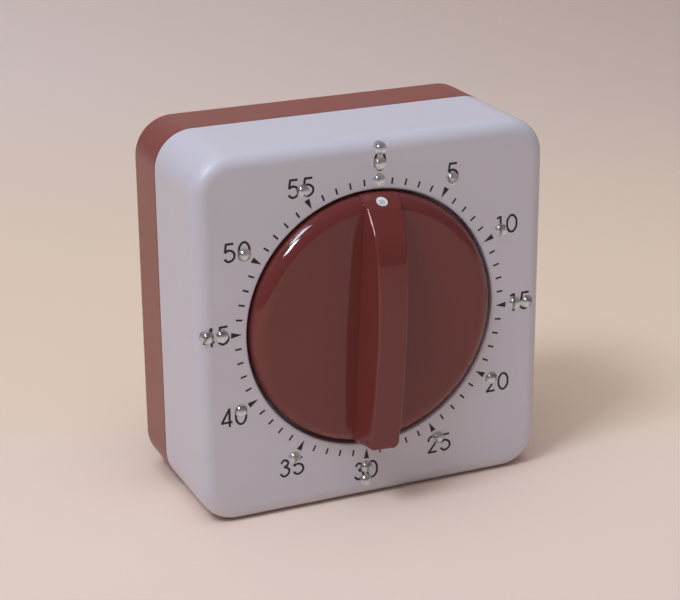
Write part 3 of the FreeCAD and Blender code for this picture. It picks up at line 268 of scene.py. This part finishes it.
resin_lit = add_node(clear_resin, "ShaderNodeMath", links={
    0: resin_ray.outputs["Is Shadow Ray"], 1: resin_ray.outputs["Is Diffuse Ray"]}, operation="MAXIMUM")
resin_whole = add_node(clear_resin, "ShaderNodeMixShader", links={
    0: resin_lit.outputs["Value"], 1: resin_body.outputs["Shader"], 2: resin_pass.outputs["BSDF"]})
clear_resin.node_tree.links.new(
    resin_whole.outputs["Shader"], clear_resin.node_tree.nodes["Material Output"].inputs["Surface"])
# Painted light: the face under the domes is coloured a brighter white than the cover, for the light the lenses
# gather.
seat_painted_light = moulded_plastic("painted_light_under_dots", "f6f6fa", "fcfcff", 0.9, 0.002,
                             Roughness=0.4, IOR=1.5)
seat_depth, seat_sunk = 0.1, 0.06
seats = []
for node in frame["nodes"]:
    if node.startswith("tactile_dot"):
        dress(node, clear_resin)
        low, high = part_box(node)
        middle = ((low.x + high.x) / 2, (face_y + seat_sunk) * mm, (low.z + high.z) / 2)
        bpy.ops.mesh.primitive_cylinder_add(
            vertices=48, radius=(high.x - low.x) / 2, depth=seat_depth * mm,
            rotation=(math.radians(90), 0, 0))
        seat = bpy.context.object
        bpy.ops.object.transform_apply(rotation=True)
        seat.data.transform(Matrix.Translation(middle))
        seats.append(seat)
one_piece(seats, "face_under_dots", seat_painted_light)

# The rear housing is moulded in the same ABS in red, with the same etched skin: a brick red
# that stays matt where the light falls on it. Four screws hold it to the cover.
red_abs = moulded_plastic("red_abs_satin", "904a41", "964f46", 0.5, 0.006, Roughness=0.35, IOR=1.5)
dress("rear_housing", red_abs)

# The knob is a darker red moulding from a polished mould. Its skin is glossy, so the room shows
# in its flats and each small round edge draws one thin bright line.
red_gloss = moulded_plastic("red_abs_polished", "773633", "7c3a36", 3.0, 0.003, Roughness=0.07, IOR=1.5)
dress("dial_knob", red_gloss)

# The pointer is a white ABS pin pressed in the knob's nose. The middle of its face is painted
# greyer than the narrow ring at its edge, a painted shade.
white_pin = moulded_plastic("white_abs_pin", "efece8", "f4f1ee", 0.5, 0.003, Roughness=0.3, IOR=1.5)
dress("pointer_dot", white_pin)
pin_low, pin_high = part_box("pointer_dot")
face_in, face_down = 0.68 * mm, 0.62 * mm
shade_radius, ring_radius = 0.55 * mm, 0.7 * mm
pin_shader = white_pin.node_tree.nodes["Principled BSDF"]
pin_white = pin_shader.inputs["Base Color"].links[0].from_socket
pin_place = add_node(white_pin, "ShaderNodeTexCoord")
pin_centre = ((pin_low.x + pin_high.x) / 2, pin_low.y + face_in, pin_high.z - face_down)
pin_reach = add_node(white_pin, "ShaderNodeVectorMath", {1: pin_centre}, {0: pin_place.outputs["Object"]},
                     operation="DISTANCE")
# Painted shade: the middle of the pin's face is coloured grey, fading to white towards its edge.
pin_shade_mask = add_node(white_pin, "ShaderNodeMapRange", {
    "From Min": shade_radius, "From Max": ring_radius, "To Min": 1.0, "To Max": 0.0,
}, {"Value": pin_reach.outputs["Value"]})
pin_painted_shade = add_node(white_pin, "ShaderNodeMix", {"B": srgb("c8c3ca")}, {
    "Factor": pin_shade_mask.outputs["Result"], "A": pin_white}, data_type="RGBA")
white_pin.node_tree.links.new(pin_painted_shade.outputs["Result"], pin_shader.inputs["Base Color"])

# The works: plates of zinc plated steel, grey and satin; wheels of stamped brass, warm; turned
# arbors, bright; blued springs, dark; and a nickel plated bell, the most like a mirror. From
# outside only the case screws are seen and, through the sound slots, a little of the bell.


def worked_metal(name, colour, dark, grain_mm, stretch, **values):
    """Metal with fine drawn, rolled or turned grain, seen in its colour and its relief."""
    relief_mm = 0.01
    material, shader = new_material(name, Metallic=1.0, **values)
    place = add_node(material, "ShaderNodeTexCoord")
    stretched = add_node(material, "ShaderNodeMapping", {"Scale": stretch},
                         {"Vector": place.outputs["Object"]})
    lines = add_node(material, "ShaderNodeTexNoise", {"Scale": 1 / (grain_mm * mm), "Detail": 4.0},
                     {"Vector": stretched.outputs["Vector"]})
    tint = add_node(material, "ShaderNodeMix", {"A": srgb(dark), "B": srgb(colour)},
                    {"Factor": lines.outputs["Fac"]}, data_type="RGBA")
    skin = add_node(material, "ShaderNodeBump", {"Strength": 0.6, "Distance": relief_mm * mm},
                    {"Height": lines.outputs["Fac"]})
    material.node_tree.links.new(tint.outputs["Result"], shader.inputs["Base Color"])
    material.node_tree.links.new(skin.outputs["Normal"], shader.inputs["Normal"])
    return material


zinc = worked_metal("zinc_plated_sheet", "c9ccd0", "a9adb4", 0.6, (1, 1, 6), Roughness=0.38)
screw_zinc = worked_metal("zinc_plated_screw", "b9bcc2", "989ca4", 0.4, (1, 1, 1), Roughness=0.32)
brass = worked_metal("stamped_brass", "d8b465", "b8924a", 0.6, (6, 1, 1), Roughness=0.3)
blued = worked_metal("blued_spring_steel", "5b6270", "3c4250", 0.5, (1, 8, 1), Roughness=0.3)
nickel = worked_metal("nickel_plated_bell", "d6d3cc", "bdb9b1", 1.2, (1, 3, 1), Roughness=0.14)
turned_steel = worked_metal("turned_steel", "c2c3c6", "9c9da1", 0.3, (1, 5, 1), Roughness=0.25)
metals = {
    "plated_steel": zinc, "screw_steel": screw_zinc, "brass": brass, "spring_steel": blued,
    "nickel_plate": nickel, "arbor_steel": turned_steel,
}
for entry in frame["record"]["subparts"]:
    if entry["material_slot"] in metals:
        dress(entry["node"], metals[entry["material_slot"]])

# The floor is a wide sheet of matt cream paper that curves up far behind the object, laid square
# to the camera. Its tone drifts yellower just behind the object. Far back it is painted darker and
# greyer towards the right, a painted shade.
camera_turn, camera_rise, camera_roll = math.radians(-23.619), math.radians(20.133), math.radians(-0.4515)
side_reach = 0.15
warm_from, warm_to = 0.0, 0.04
far_from, far_to = 0.12, 0.32
paper, paper_shader = new_material("cream_paper", Roughness=0.9, IOR=1.4)
paper_place = add_node(paper, "ShaderNodeTexCoord")
paper_turned = add_node(paper, "ShaderNodeMapping", {"Rotation": (0, 0, -camera_turn)},
                        {"Vector": paper_place.outputs["Object"]})
paper_axes = add_node(paper, "ShaderNodeSeparateXYZ", links={"Vector": paper_turned.outputs["Vector"]})
# Painted shade: far back the paper's colour darkens from left to right.
paper_side = add_node(paper, "ShaderNodeMapRange", {"From Min": -side_reach, "From Max": side_reach},
                      {"Value": paper_axes.outputs["X"]})
paper_back_painted_shade = add_node(paper, "ShaderNodeMix", {"A": srgb("ffede3"), "B": srgb("ebd4c6")},
                      {"Factor": paper_side.outputs["Result"]}, data_type="RGBA")
paper_near = add_node(paper, "ShaderNodeMapRange", {"From Min": warm_from, "From Max": warm_to},
                      {"Value": paper_axes.outputs["Y"]})
paper_floor = add_node(paper, "ShaderNodeMix", {"A": srgb("fde6d4"), "B": srgb("fee6cb")},
                       {"Factor": paper_near.outputs["Result"]}, data_type="RGBA")
paper_far = add_node(paper, "ShaderNodeMapRange", {"From Min": far_from, "From Max": far_to},
                     {"Value": paper_axes.outputs["Y"]})
paper_tone = add_node(paper, "ShaderNodeMix", links={
    "Factor": paper_far.outputs["Result"], "A": paper_floor.outputs["Result"],
    "B": paper_back_painted_shade.outputs["Result"]}, data_type="RGBA")
paper.node_tree.links.new(paper_tone.outputs["Result"], paper_shader.inputs["Base Color"])
sweep_start, sweep_radius, sweep_width, sweep_front, sweep_wall = 0.85, 0.3, 1.6, 0.9, 0.8
bpy.ops.mesh.primitive_plane_add(size=1)
sweep = bpy.context.object
sweep.name = "paper_sweep"
corners = [(-1, -sweep_front), (1, -sweep_front), (-1, sweep_start), (1, sweep_start)]
for vertex, (side, along) in zip(sweep.data.vertices, corners):
    vertex.co = (side * sweep_width, along, 0)
bpy.ops.object.mode_set(mode="EDIT")
bpy.ops.mesh.select_mode(type="VERT")
bpy.ops.mesh.select_all(action="DESELECT")
bpy.ops.object.mode_set(mode="OBJECT")
for vertex in sweep.data.vertices:
    vertex.select = vertex.co.y > 0
bpy.ops.object.mode_set(mode="EDIT")
bpy.ops.mesh.spin(steps=32, angle=-math.radians(90), center=(0, sweep_start, sweep_radius), axis=(1, 0, 0))
bpy.ops.mesh.extrude_region_move(TRANSFORM_OT_translate={"value": (0, 0, sweep_wall)})
bpy.ops.object.mode_set(mode="OBJECT")
sweep.rotation_euler.z = camera_turn
bpy.ops.object.transform_apply(rotation=True)
bpy.ops.object.shade_smooth()
sweep.data.materials.append(paper)

# The light: a cool window high on the left, a wide soft lamp overhead, and the even light of the
# room. The wide lamp lights what is matt only, and a small low one shows in what is glossy only,
# so the knob and the dots show small sharp lights.
lamp_aim = (0, 0, 0.03)


def add_lamp(name, place, side, power, colour):
    """Square soft lamp at a place, aimed at the object."""
    bpy.ops.object.light_add(type="AREA", location=place)
    lamp = bpy.context.object
    lamp.name = name
    lamp.data.shape = "SQUARE"
    lamp.data.size = side
    lamp.data.energy = power
    lamp.data.color = colour
    lamp.rotation_euler = (Vector(lamp_aim) - Vector(place)).to_track_quat("-Z", "Y").to_euler()
    return lamp


add_lamp("window_lamp", (-0.58, -0.26, 0.93), 0.3, 4.7, (0.762, 0.846, 1.0))
ceiling_lamp = add_lamp("ceiling_lamp", (-0.1, -0.1, 1.3), 1.2, 7.8, (0.97, 0.955, 1.0))
ceiling_lamp.visible_glossy = False
glint_lamp = add_lamp("glint_lamp", (-0.63, -0.54, 0.72), 0.2, 5.0, (0.95, 0.96, 1.0))
glint_lamp.visible_diffuse = False
world = bpy.data.worlds.new("room")
bpy.context.scene.world = world
world.use_nodes = True
room_light = world.node_tree.nodes["Background"]
room_light.inputs["Color"].default_value = (0.847, 0.89, 1.0, 1.0)
room_light.inputs["Strength"].default_value = 0.116

# The camera looks down on the object from the left, as the photograph was taken. Its distance
# and its shifts to the left and up are measured from the print's centre, in millimetres.
camera_distance, camera_left, camera_up = 361.35, 6.02, 3.663
back = Vector((
    math.sin(camera_turn) * math.cos(camera_rise),
    -math.cos(camera_turn) * math.cos(camera_rise),
    math.sin(camera_rise),
))
level = Vector((math.cos(camera_turn), math.sin(camera_turn), 0))
upright = level.cross(-back)
right = math.cos(camera_roll) * level + math.sin(camera_roll) * upright
above = -math.sin(camera_roll) * level + math.cos(camera_roll) * upright
print_centre = Vector((print_x, face_y, print_z))
bpy.ops.object.camera_add()
camera = bpy.context.object
camera.matrix_world = Matrix((
    (right.x, above.x, back.x, 0), (right.y, above.y, back.y, 0), (right.z, above.z, back.z, 0), (0, 0, 0, 1),
))
camera.location = (print_centre + back * camera_distance - right * camera_left + above * camera_up) * mm
camera.data.lens = 102.91
camera.data.sensor_width = 36
camera.data.clip_start = 0.01
bpy.context.scene.camera = camera
bpy.context.scene.view_settings.view_transform = "Standard"
